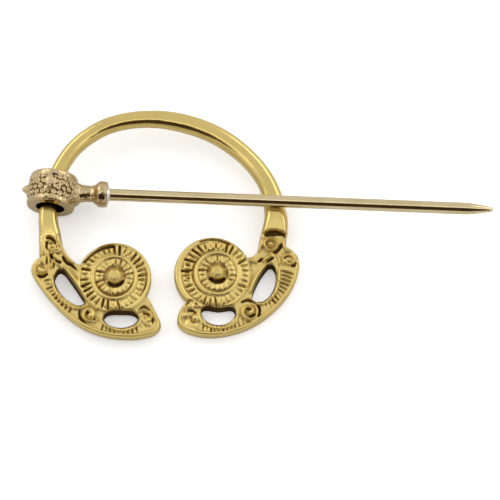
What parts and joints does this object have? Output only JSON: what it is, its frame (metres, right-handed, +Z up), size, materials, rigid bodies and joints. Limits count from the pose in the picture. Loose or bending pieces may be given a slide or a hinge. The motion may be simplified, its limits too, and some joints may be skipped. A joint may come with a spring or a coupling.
{
  "type": "penannular fibula brooch",
  "caption": "Cast brass penannular cloak brooch: an open hoop with pierced scrollwork terminals and a long pin that turns on it.",
  "frame": {"origin": "under the middle of the whole brooch's box, on the surface it lies on", "axes": "+Z up off the table, out of the ornamented face; +X along the pin towards its point, nearly: the pin runs 3 degrees off it; +Y away from the terminals, towards the top of the hoop"},
  "size_m": [0.0976, 0.0496, 0.0107],
  "materials": {
    "ring_brass": "polished cast brass, golden, dark brown patina in the recesses",
    "head_brass": "antiqued cast brass, pale, dark in the crevices of the grains",
    "rod_brass": "polished drawn brass rod, pale, lightly tarnished"
  },
  "bodies": {
    "ring": {"ring": "ring_brass"},
    "pin": {"pin_head": "head_brass", "pin_shaft": "rod_brass"}
  },
  "joints": [
    {"name": "pin_swing", "type": "hinge", "parent": "ring", "child": "pin", "pos_m": [-0.04241, 0.00639, 0.0051], "axis": [-0.0523, -0.9986, 0], "range_deg": [0, 351]}
  ]
}
